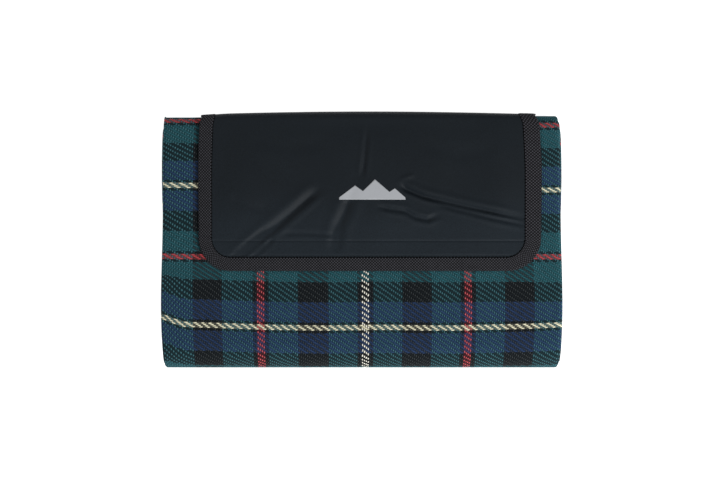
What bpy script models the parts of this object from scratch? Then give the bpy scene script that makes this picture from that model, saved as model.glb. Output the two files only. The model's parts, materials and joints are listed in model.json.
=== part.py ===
"""Camp blanket, folded for carrying.

A quilted tartan rug is gate-folded across its width, rolled flat along its length and
closed by a bound polyester flap with hook-and-loop tape.

The bundle lies on its back: +X is the right of its front face, +Y the side of the flap's
spine, +Z out of the front face. The origin is the centre of the footprint. Metres.
"""
import math

import bmesh
import bpy

# Rug, laid out flat
RUG_WIDTH = 1.500
RUG_LENGTH = 1.350
PANELS = 6
TARTAN_PLY = 0.0008
WADDING_PLY = 0.0004
BACKING_PLY = 0.0002
PLY_GAP = 0.00005
LAYER_GAP = 0.0001
HEM_INSET = 0.003

# Twill binding tape, on the rug's hem and on the flap
TAPE_WIDTH = 0.0125
TAPE_THICKNESS = 0.00025
TAPE_GAP = 0.00005

# Corner radii, at mid-thickness, of the two nested folds under the flap's spine
INNER_SPINE_CORNER = 0.0080
OUTER_SPINE_CORNER = 0.0055

# Flap
FLAP_OFFSET = 0.0065
FLAP_WIDTH_AT_SPINE = 0.3155
COVER_WIDTH_AT_END = 0.3230
COVER_LENGTH = 0.1477
COVER_CORNER = 0.030
BACK_PANEL_LENGTH = 0.185
BACK_PANEL_CORNER = 0.012
SHELL_CLOTH = 0.0003
LINING_CLOTH = 0.0003
CLOTH_GAP = 0.0001
SPINE_CLEARANCE = 0.0025
BACK_CLEARANCE = 0.0002
HINGE_CLEARANCE = 0.0008

# Hook-and-loop closure
CLOSURE_WIDTH = 0.016
CLOSURE_END_MARGIN = 0.0005
CLOSURE_THICKNESS = 0.0010
CLOSURE_GAP = 0.00015

# Printed emblem: a row of three peaks
EMBLEM_WIDTH = 0.062
EMBLEM_HEIGHT = 0.019
EMBLEM_THICKNESS = 0.0001
EMBLEM_FROM_SPINE = 0.0815
EMBLEM_SHIFT = 0.0035
PEAKS = [
    (-0.50, 0.10), (-0.26, 0.70), (-0.14, 0.42), (0.04, 1.00),
    (0.26, 0.38), (0.34, 0.56), (0.50, 0.10),
]

# Segments in each half turn
LAYER_FOLD_STEPS = 3
GATE_FOLD_STEPS = 4
INNER_FOLD_STEPS = 4
OUTER_FOLD_STEPS = 6
SPINE_CORNER_STEPS = 2
PANEL_CORNER_STEPS = 6

# Lengths closer than these count as one length, and as no bend
SAME_LENGTH = 1e-6
STRAIGHT = 1e-9

# Sizes that follow from the driving ones
PLY_STACK = TARTAN_PLY + WADDING_PLY + BACKING_PLY + 2 * PLY_GAP
HALF_SHEET = PLY_STACK / 2
TAPE_WRAP = TAPE_GAP + TAPE_THICKNESS
HEM_HALF = HALF_SHEET + TAPE_WRAP
LAYER_PITCH = 2 * HEM_HALF + LAYER_GAP
PANEL_PITCH = 4 * LAYER_PITCH
PANEL_HALF = 1.5 * LAYER_PITCH + HALF_SHEET
LAYER_FOLD = LAYER_PITCH / 2
GATE_FOLD = 1.5 * LAYER_PITCH
ROLL_FOLDS = [fold * PANEL_PITCH / 2 for fold in range(1, PANELS)]

CLOTH_HALF = (SHELL_CLOTH + CLOTH_GAP + LINING_CLOTH) / 2
FLAP_HALF = CLOTH_HALF + TAPE_WRAP


def turned_corner(radius, fold, steps):
    """A half turn of the given height, squared off to a smaller corner radius."""
    spare = fold - radius
    quarter = ("turn", radius, -math.pi / 2, steps)
    return [("run", spare), quarter, ("run", 2 * spare), quarter, ("run", spare)]


def half_turn(radius, steps, side=-1):
    return [("turn", radius, side * math.pi, steps)]


def length_of(moves):
    return sum(move[1] if move[0] == "run" else move[1] * abs(move[2]) for move in moves)


def folded_line(start, heading, moves, side):
    """Follow runs and turns; list the length, point and unit normal at each corner.

    The line begins and ends past the sheet's edge by the tape's wrap, and its length
    counts from the edge.
    """
    x, y = start
    length = -TAPE_WRAP

    def corner():
        normal = (-side * math.sin(heading), side * math.cos(heading))
        return (length, (x, y), normal)

    line = [corner()]
    for move in moves:
        if move[0] == "run":
            x += move[1] * math.cos(heading)
            y += move[1] * math.sin(heading)
            length += move[1]
            if move[1] > 0:
                line.append(corner())
            continue
        _, radius, angle, steps = move
        turn = math.copysign(1, angle)
        centre_x = x - turn * radius * math.sin(heading)
        centre_y = y + turn * radius * math.cos(heading)
        for _ in range(steps):
            heading += angle / steps
            x = centre_x + turn * radius * math.sin(heading)
            y = centre_y - turn * radius * math.cos(heading)
            length += radius * abs(angle) / steps
            line.append(corner())
    return line


def merge_runs(line):
    """Drop the corners that lie inside one straight run."""
    kept = [line[0]]
    for before, here, after in zip(line, line[1:], line[2:]):
        arriving = (here[1][0] - before[1][0], here[1][1] - before[1][1])
        leaving = (after[1][0] - here[1][0], after[1][1] - here[1][1])
        bend = arriving[0] * leaving[1] - arriving[1] * leaving[0]
        if abs(bend) > STRAIGHT * math.hypot(*arriving):
            kept.append(here)
    return kept + [line[-1]]


def point_on(line, length):
    """The point and normal at a length along a folded line."""
    for before, after in zip(line, line[1:]):
        if length <= after[0] + STRAIGHT:
            share = (length - before[0]) / (after[0] - before[0])
            point = tuple(a + (b - a) * share for a, b in zip(before[1], after[1]))
            return point, (after[2] if share > 0.5 else before[2])
    return line[-1][1], line[-1][2]


def stations(line, first, last):
    low, high = first + SAME_LENGTH, last - SAME_LENGTH
    inner = [length for length, _, _ in line if low < length < high]
    return [first] + inner + [last]


# The rug's section across its width: a and d are folded in, b and c face outwards.
LAYER_RUN = (RUG_WIDTH - math.pi * (2 * LAYER_FOLD + GATE_FOLD) + 2 * HEM_INSET) / 4
BUNDLE_WIDTH = LAYER_RUN + LAYER_FOLD + GATE_FOLD + 2 * HALF_SHEET
ACROSS = folded_line(
    (BUNDLE_WIDTH / 2 - HALF_SHEET - GATE_FOLD - HEM_INSET + TAPE_WRAP, -LAYER_PITCH / 2),
    math.pi,
    [("run", LAYER_RUN - HEM_INSET + TAPE_WRAP)]
    + half_turn(LAYER_FOLD, LAYER_FOLD_STEPS, 1)
    + [("run", LAYER_RUN)]
    + half_turn(GATE_FOLD, GATE_FOLD_STEPS, 1)
    + [("run", LAYER_RUN)]
    + half_turn(LAYER_FOLD, LAYER_FOLD_STEPS, 1)
    + [("run", LAYER_RUN - HEM_INSET + TAPE_WRAP)],
    side=-1,
)

# The rug's section along its length: six panels rolled flat round the first one.
FOLD_MOVES = [
    half_turn(ROLL_FOLDS[0], INNER_FOLD_STEPS),
    half_turn(ROLL_FOLDS[1], OUTER_FOLD_STEPS),
    turned_corner(INNER_SPINE_CORNER, ROLL_FOLDS[2], SPINE_CORNER_STEPS),
    half_turn(ROLL_FOLDS[3], OUTER_FOLD_STEPS),
    turned_corner(OUTER_SPINE_CORNER, ROLL_FOLDS[4], SPINE_CORNER_STEPS),
]
PANEL_RUN = (RUG_LENGTH - sum(length_of(moves) for moves in FOLD_MOVES)) / PANELS
RUG_DEPTH = PANEL_RUN + ROLL_FOLDS[3] + ROLL_FOLDS[4] + 2 * PANEL_HALF
DEPTH = RUG_DEPTH + SPINE_CLEARANCE + 2 * FLAP_HALF
RUG_BOTTOM_Y = -DEPTH / 2
FOLD_CENTRE_Y = RUG_BOTTOM_Y + PANEL_HALF + ROLL_FOLDS[3]
RUG_UNDERSIDE_Z = 2 * FLAP_HALF + BACK_CLEARANCE
FIRST_PANEL_Z = RUG_UNDERSIDE_Z + PANEL_HALF + 3 * PANEL_PITCH
RUG_TOP_Z = RUG_UNDERSIDE_Z + 2 * PANEL_HALF + 5 * PANEL_PITCH


def roll_moves():
    moves = [("run", TAPE_WRAP)]
    for fold in FOLD_MOVES:
        moves += [("run", PANEL_RUN)] + fold
    return moves + [("run", PANEL_RUN + TAPE_WRAP)]


ROLL_START = (FOLD_CENTRE_Y - TAPE_WRAP, FIRST_PANEL_Z)
ALONG = merge_runs(folded_line(ROLL_START, 0.0, roll_moves(), side=1))

# The flap's three panels meet at two hinge lines, at mid-thickness.
SPINE_Y = RUG_BOTTOM_Y + RUG_DEPTH + SPINE_CLEARANCE + FLAP_HALF
BACK_HINGE_Z = FLAP_HALF
COVER_Z = RUG_TOP_Z + PLY_GAP + 2 * CLOSURE_THICKNESS + CLOSURE_GAP + CLOTH_GAP + CLOTH_HALF


def material(name, colour, roughness, metallic=0.0):
    made = bpy.data.materials.new(name)
    made.use_nodes = True
    shader = made.node_tree.nodes["Principled BSDF"]
    shader.inputs["Base Color"].default_value = (*colour, 1.0)
    shader.inputs["Roughness"].default_value = roughness
    shader.inputs["Metallic"].default_value = metallic
    return made


def strip_solid(name, outer, inner, steps, place, finish, parent=None):
    """Sweep the strip between two rows of profile points through the given steps."""
    mesh = bmesh.new()
    rows = [
        ([mesh.verts.new(place(p, step)) for p in outer],
         [mesh.verts.new(place(p, step)) for p in inner])
        for step in steps
    ]
    last = len(outer) - 1
    for (outer_0, inner_0), (outer_1, inner_1) in zip(rows, rows[1:]):
        for i in range(last):
            mesh.faces.new((outer_0[i], outer_0[i + 1], outer_1[i + 1], outer_1[i]))
            mesh.faces.new((inner_0[i + 1], inner_0[i], inner_1[i], inner_1[i + 1]))
        mesh.faces.new((inner_0[0], outer_0[0], outer_1[0], inner_1[0]))
        mesh.faces.new((outer_0[last], inner_0[last], inner_1[last], outer_1[last]))
    for outer_row, inner_row in (rows[0], rows[-1]):
        for i in range(last):
            mesh.faces.new((outer_row[i], outer_row[i + 1], inner_row[i + 1], inner_row[i]))
    bmesh.ops.recalc_face_normals(mesh, faces=mesh.faces)
    if mesh.calc_volume(signed=True) < 0:
        bmesh.ops.reverse_faces(mesh, faces=mesh.faces)
    data = bpy.data.meshes.new(name)
    mesh.to_mesh(data)
    mesh.free()
    data.materials.append(finish)
    made = bpy.data.objects.new(name, data)
    bpy.context.collection.objects.link(made)
    if parent:
        data.transform(parent.matrix_world.inverted())
        made.parent = parent
    return made


def hinge_line(name, z):
    """An empty on a hinge line of the flap, to which that panel's pieces are parented."""
    made = bpy.data.objects.new(name, None)
    made.location = (FLAP_OFFSET, SPINE_Y, z)
    bpy.context.collection.objects.link(made)
    bpy.context.view_layer.update()
    return made


# Rug


def place_on_rug(u, v, n):
    """A point of the folded rug: u across, v along, n towards the tartan side."""
    (x, height), (normal_x, normal_h) = point_on(ACROSS, u)
    offset = height + normal_h * n
    (y, z), (normal_y, normal_z) = point_on(ALONG, v)
    return (x + normal_x * n, y + normal_y * offset, z + normal_z * offset)


def rug_ply(name, top, thickness, finish):
    across = stations(ACROSS, 0.0, RUG_WIDTH)
    strip_solid(
        name,
        [(u, top) for u in across],
        [(u, top - thickness) for u in across],
        stations(ALONG, 0.0, RUG_LENGTH),
        lambda point, v: place_on_rug(point[0], v, point[1]),
        finish,
    )
    return top - thickness - PLY_GAP


def channel(half_inside):
    """The tape's folded section: distance in from the edge, and height."""
    def face(edge, half):
        return [(TAPE_WIDTH, half), (-edge, half), (-edge, -half), (TAPE_WIDTH, -half)]

    return face(TAPE_WRAP, half_inside + TAPE_WRAP), face(TAPE_GAP, half_inside + TAPE_GAP)


def hem_tapes(finish):
    """Binding tape over the rug's two sides, and over its two ends between them."""
    outer, inner = channel(HALF_SHEET)
    side_start = TAPE_WIDTH + LAYER_GAP
    along = stations(ALONG, side_start, RUG_LENGTH - side_start)
    for name, edge, inward in (("first", 0.0, 1), ("second", RUG_WIDTH, -1)):
        strip_solid(
            f"hem_tape_{name}_side", outer, inner, along,
            lambda point, v: place_on_rug(edge + inward * point[0], v, point[1]),
            finish,
        )
    across = stations(ACROSS, -TAPE_WRAP, RUG_WIDTH + TAPE_WRAP)
    for name, edge, inward in (("inner", 0.0, 1), ("outer", RUG_LENGTH, -1)):
        strip_solid(
            f"hem_tape_{name}_end", outer, inner, across,
            lambda point, u: place_on_rug(u, edge + inward * point[0], point[1]),
            finish,
        )


# Flap


def panel_edge(start_width, end_width, length, corner):
    """Half of a panel's edge, from the hinge line to the middle of its far end.

    Each entry is the distance to the side, the distance from the hinge line, and the
    unit direction out of the panel there.
    """
    slope = (end_width - start_width) / 2 / length
    lean = math.atan(slope)
    out = (math.cos(lean), -math.sin(lean))
    end_side = end_width / 2
    centre_side = end_side - corner * (1 + math.sin(lean)) / math.cos(lean)
    centre = (centre_side, length - corner)
    edge = [(start_width / 2 + slope * HINGE_CLEARANCE, HINGE_CLEARANCE, out)]
    for step in range(PANEL_CORNER_STEPS + 1):
        turn = -lean + (math.pi / 2 + lean) * step / PANEL_CORNER_STEPS
        direction = (math.cos(turn), math.sin(turn))
        edge.append((centre[0] + corner * direction[0], centre[1] + corner * direction[1], direction))
    return edge


def straight_edge(width, length):
    out = (1.0, 0.0)
    return [(width / 2, HINGE_CLEARANCE, out), (width / 2, length - HINGE_CLEARANCE, out)]


def on_back(side, far, n):
    return (FLAP_OFFSET + side, SPINE_Y - far, BACK_HINGE_Z - n)


def on_spine(side, far, n):
    return (FLAP_OFFSET + side, SPINE_Y + n, COVER_Z - far)


def on_cover(side, far, n):
    return (FLAP_OFFSET + side, SPINE_Y - far, COVER_Z + n)


def cloth(name, edge, bottom, top, place, finish, parent=None):
    """A flat panel of cloth between two heights, mirrored about its middle."""
    strip_solid(
        name,
        [(side, far) for side, far, _ in edge],
        [(-side, far) for side, far, _ in edge],
        (bottom, top),
        lambda point, n: place(point[0], point[1], n),
        finish,
        parent,
    )


def edge_tape(name, half_edges, place, finish, parent=None):
    """Binding tape folded over a panel's edge, given as one open run of edge points."""
    outer, inner = channel(CLOTH_HALF)
    strip_solid(
        name, outer, inner, half_edges,
        lambda point, e: place(e[0] - e[2][0] * point[0], e[1] - e[2][1] * point[0], point[1]),
        finish,
        parent,
    )


def round_edge(edge):
    """The whole edge, from one end of the hinge line round to the other."""
    left = [(-side, far, (-out[0], out[1])) for side, far, out in edge]
    return left + list(reversed(edge))


def flap(shell, lining, tape, hook, loop, print_film):
    spine_length = COVER_Z - BACK_HINGE_Z
    spine_hinge = hinge_line("spine_hinge_line", BACK_HINGE_Z)
    cover_hinge = hinge_line("cover_hinge_line", COVER_Z)

    back = panel_edge(FLAP_WIDTH_AT_SPINE, FLAP_WIDTH_AT_SPINE, BACK_PANEL_LENGTH, BACK_PANEL_CORNER)
    cloth("back_panel", back, -CLOTH_HALF, CLOTH_HALF, on_back, shell)
    edge_tape("back_panel_tape", round_edge(back), on_back, tape)

    spine = straight_edge(FLAP_WIDTH_AT_SPINE, spine_length)
    cloth("spine_shell", spine, CLOTH_HALF - SHELL_CLOTH, CLOTH_HALF, on_spine, shell, spine_hinge)
    cloth("spine_lining", spine, -CLOTH_HALF, LINING_CLOTH - CLOTH_HALF, on_spine, lining, spine_hinge)
    edge_tape("spine_tape_right", spine, on_spine, tape, spine_hinge)
    left = [(-side, far, (-out[0], out[1])) for side, far, out in spine]
    edge_tape("spine_tape_left", left, on_spine, tape, spine_hinge)

    cover = panel_edge(FLAP_WIDTH_AT_SPINE, COVER_WIDTH_AT_END, COVER_LENGTH, COVER_CORNER)
    cloth("cover_shell", cover, CLOTH_HALF - SHELL_CLOTH, CLOTH_HALF, on_cover, shell, cover_hinge)
    cloth("cover_lining", cover, -CLOTH_HALF, LINING_CLOTH - CLOTH_HALF, on_cover, lining, cover_hinge)
    edge_tape("cover_tape", round_edge(cover), on_cover, tape, cover_hinge)

    # The closure lies between the tapes of the cover's two sides, next to its lower tape.
    reach = COVER_LENGTH - TAPE_WIDTH - CLOSURE_END_MARGIN
    half_strip = COVER_WIDTH_AT_END / 2 - COVER_CORNER
    strip = [(half_strip, reach - CLOSURE_WIDTH, None), (half_strip, reach, None)]
    hook_top = -CLOTH_HALF - CLOTH_GAP
    hook_bottom = hook_top - CLOSURE_THICKNESS
    cloth("closure_hook_strip", strip, hook_bottom, hook_top, on_cover, hook, cover_hinge)
    loop_top = hook_bottom - CLOSURE_GAP
    cloth("closure_loop_strip", strip, loop_top - CLOSURE_THICKNESS, loop_top, on_cover, loop)
    emblem(print_film, cover_hinge)


def emblem(print_film, parent):
    """Three peaks on one base line, as a thin film on the cover."""
    upper = [
        (EMBLEM_SHIFT + across * EMBLEM_WIDTH, EMBLEM_FROM_SPINE - height * EMBLEM_HEIGHT)
        for across, height in PEAKS
    ]
    lower = [(side, EMBLEM_FROM_SPINE) for side, _ in upper]
    bottom = CLOTH_HALF + PLY_GAP
    strip_solid(
        "emblem_transfer", upper, lower, (bottom, bottom + EMBLEM_THICKNESS),
        lambda point, n: on_cover(point[0], point[1], n),
        print_film,
        parent,
    )


def main():
    for old in list(bpy.data.objects):
        bpy.data.objects.remove(old, do_unlink=True)

    tape = material("twill_tape", (0.030, 0.024, 0.026), 0.85)
    tartan = material("woven_tartan", (0.020, 0.075, 0.085), 0.90)
    wadding = material("wadding", (0.78, 0.78, 0.76), 0.95)
    backing = material("coated_backing", (0.045, 0.050, 0.055), 0.45)
    shell = material("polyester_shell", (0.020, 0.024, 0.029), 0.50)
    lining = material("polyester_lining", (0.016, 0.018, 0.021), 0.60)
    hook = material("hook_tape", (0.012, 0.012, 0.013), 0.75)
    loop = material("loop_tape", (0.015, 0.015, 0.016), 0.95)
    print_film = material("print_film", (0.62, 0.64, 0.66), 0.40)

    next_top = rug_ply("tartan_face", HALF_SHEET, TARTAN_PLY, tartan)
    next_top = rug_ply("wadding", next_top, WADDING_PLY, wadding)
    rug_ply("waterproof_backing", next_top, BACKING_PLY, backing)
    hem_tapes(tape)
    flap(shell, lining, tape, hook, loop, print_film)


main()
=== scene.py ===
"""Camp blanket: the looks of the folded rug and of its flap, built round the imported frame.

The rug is one sheet, mapped from its flat cut through four layers across and six rolled
panels along, so its weave runs true over every fold. The flap is one strip of cloth that
runs from under the bundle, over the spine and down the front.
"""
import json
import math

import bmesh
import bpy
import numpy as np
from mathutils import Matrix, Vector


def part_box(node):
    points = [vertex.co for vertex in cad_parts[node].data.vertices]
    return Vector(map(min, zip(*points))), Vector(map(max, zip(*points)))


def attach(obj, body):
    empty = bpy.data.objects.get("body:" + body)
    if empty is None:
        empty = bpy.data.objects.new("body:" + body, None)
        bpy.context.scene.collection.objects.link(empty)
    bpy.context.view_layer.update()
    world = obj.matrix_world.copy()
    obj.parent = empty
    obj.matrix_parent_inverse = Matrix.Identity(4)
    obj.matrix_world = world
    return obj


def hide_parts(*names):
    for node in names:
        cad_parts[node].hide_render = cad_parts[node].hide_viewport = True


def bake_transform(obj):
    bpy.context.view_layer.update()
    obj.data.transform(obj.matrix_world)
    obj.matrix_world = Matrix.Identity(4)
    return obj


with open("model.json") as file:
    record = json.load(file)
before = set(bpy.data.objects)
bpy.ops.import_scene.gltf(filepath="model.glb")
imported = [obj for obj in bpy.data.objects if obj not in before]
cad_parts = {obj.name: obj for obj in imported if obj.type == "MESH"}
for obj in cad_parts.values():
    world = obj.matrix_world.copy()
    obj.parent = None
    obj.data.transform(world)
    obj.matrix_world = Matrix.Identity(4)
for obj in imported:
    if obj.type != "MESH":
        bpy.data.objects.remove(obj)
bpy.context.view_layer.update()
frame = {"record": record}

bl_info = {
    "name": "Camp Blanket",
    "version": (1, 0, 0),
    "blender": (4, 5, 0),
    "location": "3D View > Sidebar > Camp Blanket",
    "description": "Builds a folded tartan camp blanket with a bound flap round its packed frame",
    "category": "Add Mesh",
}

HINGES = {joint["name"]: joint["pos_m"] for joint in frame["record"]["behaviour"]["joints"]}
FLAP_X, SPINE_Y, BACK_Z = HINGES["spine_fold"]
COVER_Z = HINGES["cover_fold"][2]
RUG_LOW, RUG_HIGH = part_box("tartan_face")
LAYERS, PANELS = 4, 6
QUARTER = math.pi / 2
TURN = 2 * math.pi
MILLIMETRES = 1000
# Lengths closer than this count as one.
SAME_LENGTH, SAME_DECIMALS = 1e-6, 6


def linear(red, green, blue):
    """A display colour, 0 to 255, as the linear values that a shader takes."""
    def channel(value):
        share = value / 255
        return share / 12.92 if share <= 0.04045 else ((share + 0.055) / 1.055) ** 2.4
    return tuple(channel(value) for value in (red, green, blue))


def length(name, description, default):
    return bpy.props.FloatProperty(
        name=name, description=description, default=default, min=0.0,
        precision=5, unit="LENGTH", subtype="DISTANCE",
    )


def colour(name, description, red, green, blue):
    return bpy.props.FloatVectorProperty(
        name=name, description=description, default=linear(red, green, blue),
        min=0.0, max=1.0, size=3, subtype="COLOR",
    )


class RugSettings(bpy.types.PropertyGroup):
    """Sizes of the rug."""

    width: length("Width", "Flat width of the rug, folded in four", 1.500)
    length: length("Length", "Flat length of the rug, rolled in six panels", 1.350)
    pressed: length("Pressed thickness", "Thickness of the three plies in the frame", 0.0015)
    sheet: length("Sheet thickness", "Thickness of the three plies where no hem presses them", 0.0020)
    face: length("Face thickness", "Thickness of the tartan ply", 0.0008)
    backing: length("Backing thickness", "Thickness of the coated ply", 0.0003)
    hem_inset: length("Hem inset", "How far the side hems stop short of the gate fold", 0.003)
    inner_corner: length("Inner corner", "Mid-thickness radius of the middle fold at the spine", 0.0095)
    outer_corner: length("Outer corner", "Mid-thickness radius of the outer fold at the spine", 0.0060)
    plan_corner: length("Plan corner", "Radius of the bundle's four corners, seen from above", 0.005)
    tape: length("Tape width", "Width of the folded binding tape", 0.0125)


class FlapSettings(bpy.types.PropertyGroup):
    """Sizes of the flap."""

    width: length("Width at spine", "Width of the flap over the spine and the back", 0.3155)
    end_width: length("Width at end", "Width of the cover at its free end", 0.3230)
    cover: length("Cover length", "From the spine's upper edge to the cover's end", 0.1477)
    back: length("Back length", "From the spine's lower edge to the back panel's end", 0.185)
    cover_corner: length("Cover corner", "Radius of the cover's two corners", 0.030)
    back_corner: length("Back corner", "Radius of the back panel's two corners", 0.012)
    cloth: length("Cloth thickness", "Shell and lining together", 0.0007)
    tape_wall: length("Tape thickness", "One thickness of the binding tape", 0.00045)
    bend: length("Fold radius", "Radius of the cloth at both edges of the spine", 0.0060)
    bulge: length("Spine bulge", "How far the spine's middle stands out past its sides", 0.0024)


class WeaveSettings(bpy.types.PropertyGroup):
    """Sizes and colours of the weaves."""

    warp_pitch: length("Warp pitch", "Width of one warp yarn", 0.001836)
    weft_pitch: length("Weft pitch", "Height of one weft yarn", 0.001257)
    teal: colour("Teal", "Green yarn", 44, 94, 103)
    blue: colour("Blue", "Blue yarn", 46, 67, 104)
    black: colour("Black", "Black yarn", 26, 31, 35)
    red: colour("Red", "Red yarn", 196, 78, 82)
    cream: colour("Cream", "Cream yarn", 255, 252, 236)
    shell: colour("Shell", "Polyester of the flap", 21, 28, 34)
    lining: colour("Lining", "Lining cloth of the flap", 26, 28, 31)
    tape: colour("Tape", "Binding tape", 29, 29, 32)
    # Near-black, so that the stitches by the tape's inner edge also serve as painted shade of the
    # groove there.
    thread: colour("Thread", "Sewing thread", 5, 5, 7)
    print: colour("Print", "Emblem film", 182, 185, 190)


# Section lines


class Route:
    """A section line of straight runs and round turns, read by length along it."""

    def __init__(self, start, heading, moves, side):
        self.side = side
        self.parts = []
        position = np.array(start, float)
        reached = 0.0
        for size, angle in moves:
            span = size * abs(angle) if angle else size
            self.parts.append((reached, span, position, heading, size, angle))
            reached += span
            if angle:
                turn = math.copysign(size, angle)
                centre = position + turn * np.array((-math.sin(heading), math.cos(heading)))
                heading += angle
                position = centre + turn * np.array((math.sin(heading), -math.cos(heading)))
            else:
                position = position + size * np.array((math.cos(heading), math.sin(heading)))
        self.total = reached

    def at(self, lengths):
        """The points and unit normals at these lengths, as two pairs of arrays."""
        lengths = np.asarray(lengths, float)
        across, up = np.zeros(lengths.shape), np.zeros(lengths.shape)
        headings = np.zeros(lengths.shape)
        last = len(self.parts) - 1
        for index, (first, span, start, heading, size, angle) in enumerate(self.parts):
            here = np.ones(lengths.shape, bool)
            if index > 0:
                here &= lengths >= first
            if index < last:
                here &= lengths < first + span
            along = lengths[here] - first
            if angle:
                turned = heading + angle * along / span
                turn = math.copysign(size, angle)
                across[here] = start[0] + turn * (np.sin(turned) - math.sin(heading))
                up[here] = start[1] - turn * (np.cos(turned) - math.cos(heading))
                headings[here] = turned
            else:
                across[here] = start[0] + along * math.cos(heading)
                up[here] = start[1] + along * math.sin(heading)
                headings[here] = heading
        normal = (-self.side * np.sin(headings), self.side * np.cos(headings))
        return (across, up), normal

    def turned(self, lengths):
        """How far the line has turned by these lengths, as an angle."""
        marks = [part[0] for part in self.parts] + [self.total]
        headings = [part[3] for part in self.parts]
        headings.append(headings[-1] + self.parts[-1][5])
        return np.abs(np.interp(lengths, marks, headings) - headings[0])

    def stations(self, first, last, run_step, turn_step, near=()):
        """Lengths from first to last, close together in the turns, and others near the turns."""
        marks = [first]
        for start, span, _, _, _, angle in self.parts:
            low, high = max(start, first), min(start + span, last)
            if high - low < SAME_LENGTH:
                continue
            count = max(1, math.ceil((high - low) / (turn_step if angle else run_step)))
            marks += list(np.linspace(low, high, count + 1)[1:])
            if not angle:
                marks += [low + gap for gap in near if low + gap < high]
                marks += [high - gap for gap in near if high - gap > low]
        return np.unique(np.round(marks, SAME_DECIMALS))


def square_turn(radius, half_height):
    """Half a turn with two round corners and a flat back."""
    spare = half_height - radius
    return [(spare, 0), (radius, -QUARTER), (2 * spare, 0), (radius, -QUARTER), (spare, 0)]


def smooth(low, high, value):
    """0 at low, 1 at high, and an even rise between them."""
    share = np.clip((value - low) / (high - low), 0, 1)
    return share * share * (3 - 2 * share)


def band(low, rise, fall, high, value):
    """1 from rise to fall, and 0 below low and above high."""
    return smooth(low, rise, value) * (1 - smooth(fall, high, value))


def rises(value, parts):
    """A sum of smooth rises, each given as its height and where it starts and ends."""
    return sum(height * smooth(low, high, value) for height, low, high in parts)


def waves(value, parts):
    """A sum of waves, each given as its height, its length and its phase."""
    return sum(height * np.sin(TURN * value / long + phase) for height, long, phase in parts)


# Height, length across, length along and phase of each wave of the cloth's slow swell
SWELL = ((0.5, 0.21, 0.33, 0.7), (0.3, 0.13, -0.19, 2.1), (0.2, 0.071, 0.11, 4.0))


def swell(x, y):
    """A slow, uneven rise and fall between about -1 and 1."""
    return sum(size * np.sin(TURN * (x / wide + y / deep) + phase) for size, wide, deep, phase in SWELL)


# How the bundle leaves its square: the bow of its left and right sides and where each is least
SIDE_BOWS = ((0.0012, 0.010), (0.0014, 0.004))
CORNER_SLACK, FRONT_SLACK = 0.0014, 0.0009
TOP_RIGHT_CORNER = 1.6
TOP_SWELL, SIDE_SWELL = 0.0007, 0.0009
EDGE_DROP, EDGE_REACH = 0.0011, 0.010


def settle(point):
    """Give the square bundle the bowed sides, round corners and slack of folded cloth."""
    rug = bpy.context.scene.blanket_rug
    x, y, z = np.moveaxis(point, -1, 0)
    half_width = RUG_HIGH.x
    half_depth = (RUG_HIGH.y - RUG_LOW.y) / 2
    middle_y = (RUG_HIGH.y + RUG_LOW.y) / 2
    off_middle = y - middle_y
    bows = [bow * np.abs((off_middle - least) / half_depth) ** 3 for bow, least in SIDE_BOWS]
    x = x * (1 - np.where(x < 0, *bows) / half_width)
    top_left = smooth(-0.120, -0.160, x) * smooth(0.080, 0.115, y)
    y = y - CORNER_SLACK * top_left - FRONT_SLACK * smooth(-0.095, -0.119, y)
    corner = np.where((x > 0) & (off_middle > 0), TOP_RIGHT_CORNER, 1.0) * rug.plan_corner
    past_x = np.abs(x) - (half_width - corner)
    past_y = np.abs(off_middle) - (half_depth - corner)
    rounded = (past_x > 0) & (past_y > 0)
    reach = np.maximum(np.hypot(past_x, past_y), 1e-9)
    shrink = np.where(rounded, np.maximum(past_x, past_y) / reach, 1)
    x = np.where(rounded, np.sign(x) * (half_width - corner + past_x * shrink), x)
    round_y = middle_y + np.sign(off_middle) * (half_depth - corner + past_y * shrink)
    y = np.where(rounded, round_y, y)
    share = np.clip(z / RUG_HIGH.z, 0, 1.1)
    edge = np.maximum(half_width - np.abs(x), 0)
    lift = TOP_SWELL * swell(x, y) - EDGE_DROP * np.exp(-edge / EDGE_REACH)
    middle = np.sin(math.pi * np.clip(share, 0, 1))
    uneven = SIDE_SWELL * swell(y + 0.07, x * 1.7 + 0.02) * middle
    return np.stack((x, y, z + share * lift + uneven), axis=-1)


# The rug is folded a little narrower than its frame, and its rolled edges wander.
NARROWER, TO_RIGHT = 0.0123, 0.0003
EDGE_WANDER = ((0.0011, 0.31, 1.3), (0.0007, 0.173, 0.0))

# How the folds pull the outer layer's yarns out of line, along and across
LEFT_PULL = ((0.0031, -0.075, -0.165), (0.0078, -0.164, -0.194))
RIGHT_PULL = 0.0032
BACK_LEFT_PULL, BACK_RIGHT_PULL = 0.0040, 0.0100
FRONT_PULL, PULL_WAVE = ((0.0015, -0.110, -0.118),), ((0.0003, 0.11, 0.5),)
LEAN = ((0.0006, 0.26, 0.4),)
STRETCH = ((0.0060, -0.150, -0.189),)
SHIFTS = (
    (0.0014, -0.030, -0.070), (0.0018, -0.100, -0.135), (-0.0015, -0.140, -0.165),
    (0.0006, 0.070, 0.110),
)
# Where the check starts on the outer layer
CHECK_X, CHECK_Y = 0.0029, -0.0825


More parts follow.
